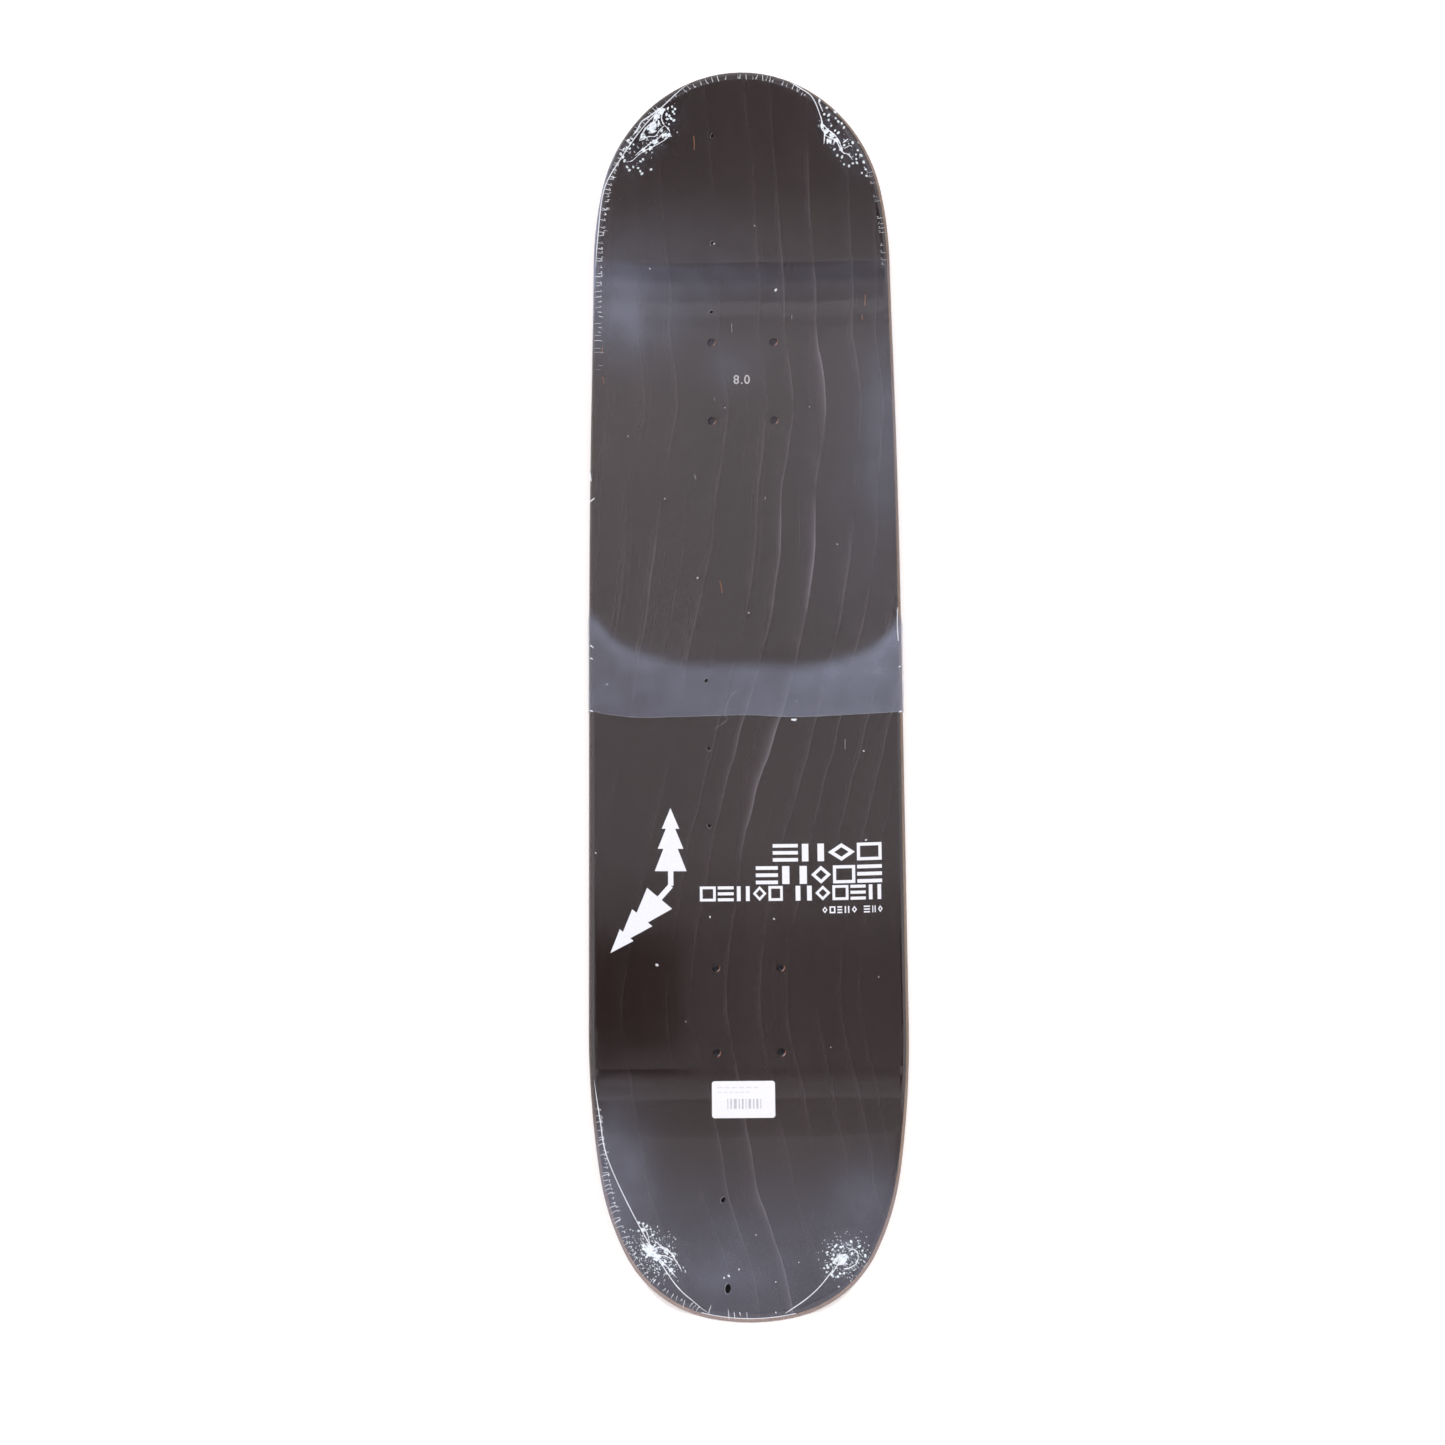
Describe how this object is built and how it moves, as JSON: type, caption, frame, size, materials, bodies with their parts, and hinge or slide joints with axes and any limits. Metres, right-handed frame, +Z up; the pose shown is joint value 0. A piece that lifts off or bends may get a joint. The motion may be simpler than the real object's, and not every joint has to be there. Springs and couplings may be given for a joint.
{
  "type": "skateboard deck in shrink film",
  "caption": "Bare popsicle-shaped skateboard deck with concave and upturned nose and tail, stained riding face with white print and a price label, sealed in clear shrink film.",
  "frame": {"origin": "on the surface the wrapped deck lies on, under the middle of the wheelbase and on the centreline", "axes": "+X towards the right-hand rail looking from tail to nose, +Y towards the nose, +Z up out of the riding face"},
  "size_m": [0.204, 0.8103, 0.0559],
  "materials": {
    "stained_veneer": "maple stained nearly black, matt",
    "maple_core": "pale maple, grain along the deck",
    "maple_crossband": "maple with the grain across the deck, end grain at the rails",
    "base_veneer": "clear-lacquered maple",
    "white_ink": "screen-printed opaque white ink",
    "label_paper": "coated white paper",
    "label_ink": "pale grey thermal print",
    "shrink_film": "clear glossy heat-shrunk film"
  },
  "bodies": {
    "root": {"deck_ply_1_face": "stained_veneer", "deck_ply_2_core": "maple_core", "deck_ply_3_crossband": "maple_crossband", "deck_ply_4_core": "maple_core", "deck_ply_5_crossband": "maple_crossband", "deck_ply_6_core": "maple_core", "deck_ply_7_base": "base_veneer", "ink_motif": "white_ink", "ink_rows": "white_ink", "ink_size_mark": "white_ink", "label_paper": "label_paper", "label_bars": "label_ink", "film_riding_side": "shrink_film", "film_underside": "shrink_film", "film_lap": "shrink_film"}
  },
  "joints": []
}
